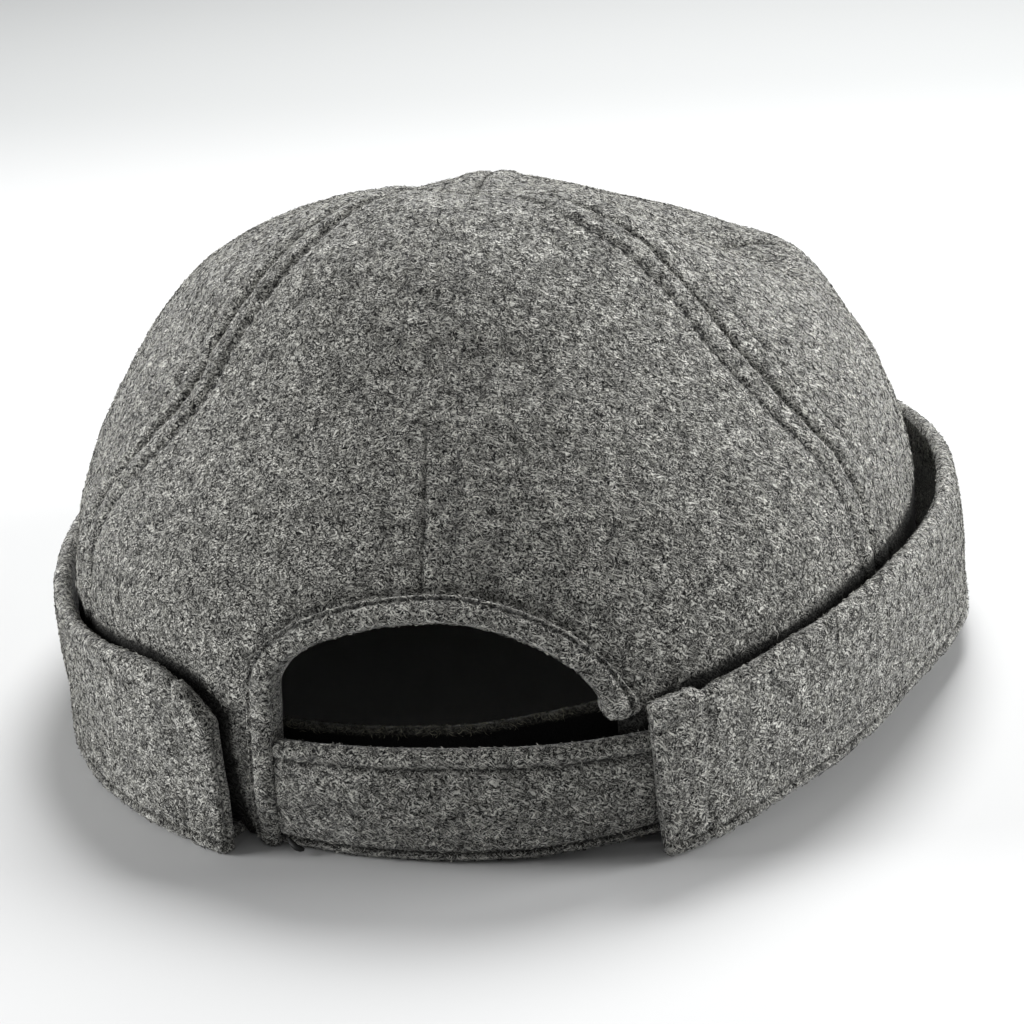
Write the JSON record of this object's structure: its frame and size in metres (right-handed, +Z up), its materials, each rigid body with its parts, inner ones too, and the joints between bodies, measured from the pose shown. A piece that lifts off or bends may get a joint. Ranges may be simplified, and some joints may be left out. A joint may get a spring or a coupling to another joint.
{
  "type": "breton cap",
  "caption": "Brimless crown of sewn wool panels with a deep turned-up cuff, a bound half-moon opening at the back and a sewn strap across its foot.",
  "frame": {"origin": "middle of the cap's outline, on the surface that it lies on", "axes": "+Z up through the crown, -Y the front of the head, +Y the back opening, -X the wearer's right side"},
  "size_m": [0.1902, 0.2132, 0.1068],
  "materials": {
    "wool_crown": "grey melange felted wool, brushed and fuzzy",
    "wool_cuff": "grey melange felted wool, two layers, brushed and fuzzy",
    "wool_binding": "grey melange felted wool strip folded over the cut edge, with a line of stitches",
    "wool_strap": "darker grey melange felted wool with a line of stitches along each edge",
    "inner_cloth": "black brushed cloth with a brown tinge along its top edge"
  },
  "bodies": {
    "root": {"crown_panel_back_right": "wool_crown", "crown_panel_side_right": "wool_crown", "crown_panel_front_right": "wool_crown", "crown_panel_front_left": "wool_crown", "crown_panel_side_left": "wool_crown", "crown_panel_back_left": "wool_crown", "cuff": "wool_cuff", "opening_binding": "wool_binding", "strap_outer": "wool_strap", "strap_inner": "inner_cloth"}
  },
  "joints": []
}
